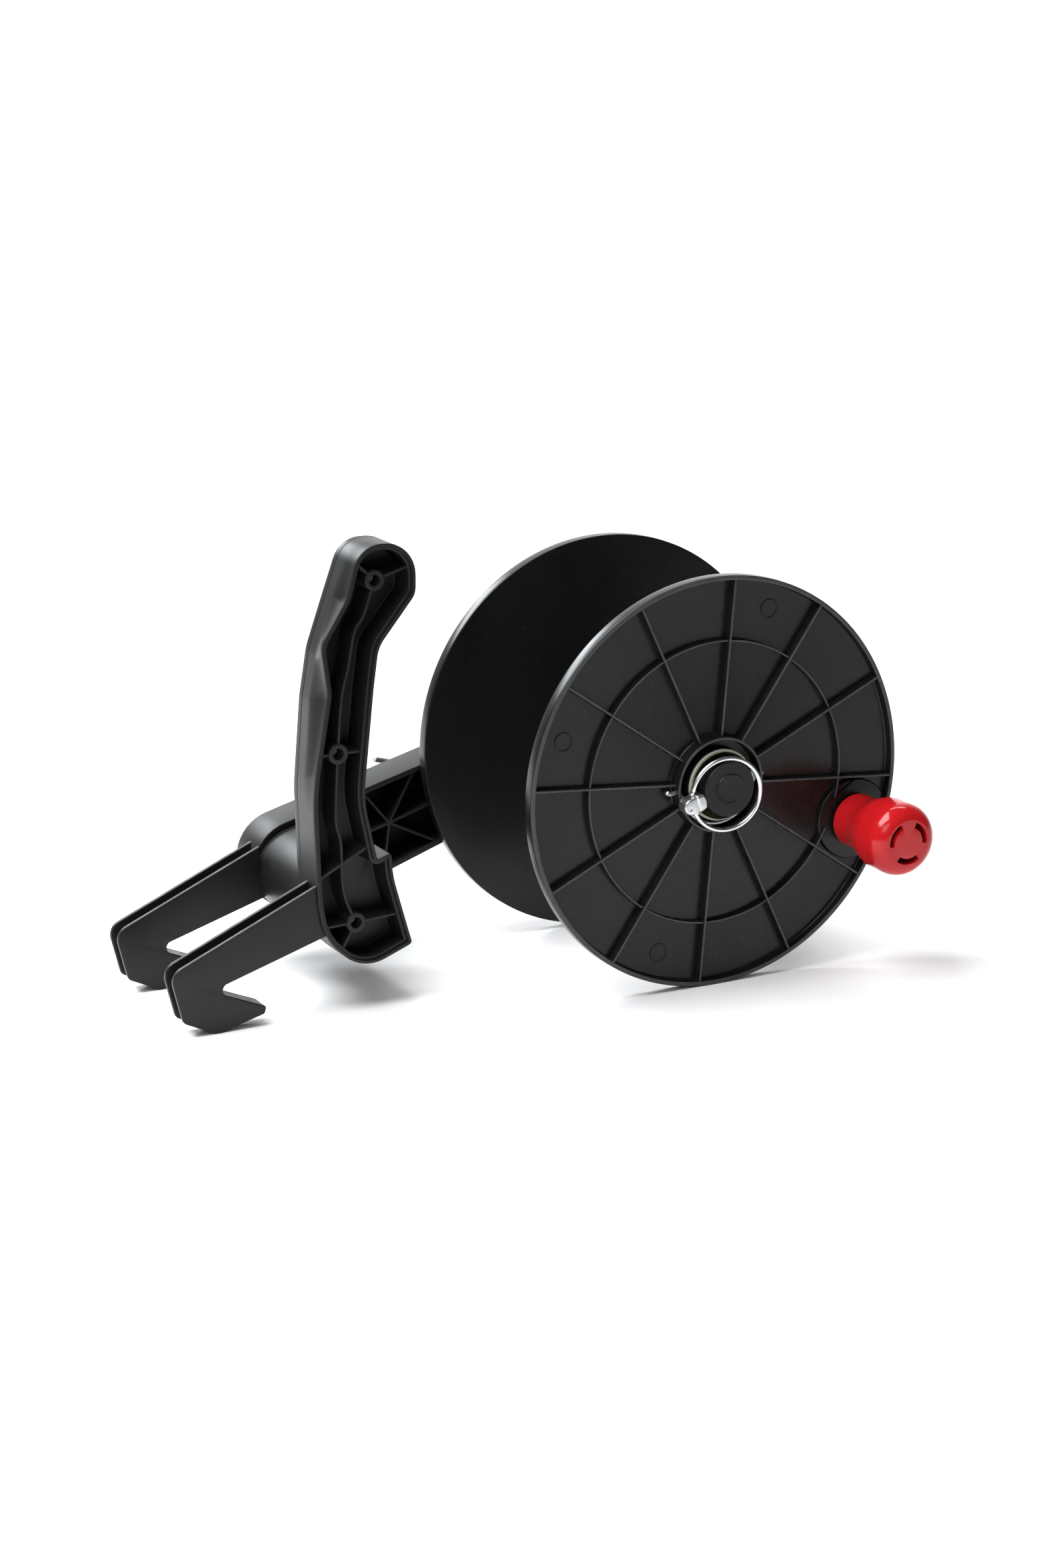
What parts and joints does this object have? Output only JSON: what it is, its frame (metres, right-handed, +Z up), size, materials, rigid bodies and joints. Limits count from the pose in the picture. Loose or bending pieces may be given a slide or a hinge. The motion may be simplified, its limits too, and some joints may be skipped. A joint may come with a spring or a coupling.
{
  "type": "fence line hand reel",
  "caption": "Cranked spool with ribbed flanges on a frame with a ribbed hand grip and two hanging hooks; red crank knob, linch pin and lock pin.",
  "frame": {"origin": "middle of the base that the reel stands on, under the middle of its box", "axes": "+X from the hooks towards the spool, +Y along the spool's axis from the crank side to the back, +Z up"},
  "size_m": [0.396, 0.2234, 0.2438],
  "materials": {
    "black_gloss": "glossy moulded black polypropylene, faint flow and rub marks",
    "black_satin": "satin black glass-filled nylon, slightly grey in the light",
    "red_gloss": "glossy red moulded plastic",
    "zinc_steel": "bright zinc plate",
    "chrome_wire": "bright nickel plated spring wire",
    "yellow_zinc": "yellow passivated zinc plate",
    "nylon": "natural nylon, satin"
  },
  "bodies": {
    "frame": {"arm": "black_satin", "cross_beam": "black_satin", "front_hook": "black_satin", "rear_hook": "black_satin", "grip_front": "black_satin", "grip_back": "black_satin", "grip_screws": "zinc_steel", "spindle": "black_satin", "spindle_cap": "black_satin", "spindle_bolt": "zinc_steel", "spindle_washer": "zinc_steel", "spindle_nut": "zinc_steel", "front_thrust_washer": "yellow_zinc", "rear_thrust_washer": "yellow_zinc", "linch_pin": "zinc_steel"},
    "spool": {"front_flange": "black_gloss", "rear_flange": "black_gloss", "drum": "black_gloss", "front_bush": "nylon", "rear_bush": "nylon", "hub_clip": "zinc_steel", "knob_post": "black_satin", "knob_screw": "zinc_steel"},
    "crank_knob": {"knob": "red_gloss"},
    "ring": {"linch_ring": "chrome_wire"},
    "lock": {"lock_pin": "zinc_steel", "lock_handle": "zinc_steel", "lock_clip": "zinc_steel"}
  },
  "joints": [
    {"name": "spool_spin", "type": "hinge", "parent": "frame", "child": "spool", "pos_m": [0.08801, 0.00325, 0.11], "axis": [0, -1, 0], "continuous": true},
    {"name": "knob_spin", "type": "hinge", "parent": "spool", "child": "crank_knob", "pos_m": [0.17413, -0.08175, 0.0791], "axis": [0, -1, 0], "continuous": true},
    {"name": "ring_swing", "type": "hinge", "parent": "frame", "child": "ring", "pos_m": [0.06888, -0.06995, 0.10415], "axis": [0.2924, 0, -0.9563], "range_deg": [0, 170]},
    {"name": "lock_slide", "type": "slide", "parent": "frame", "child": "lock", "axis": [0, -1, 0], "range_m": [0, 0.005]}
  ]
}
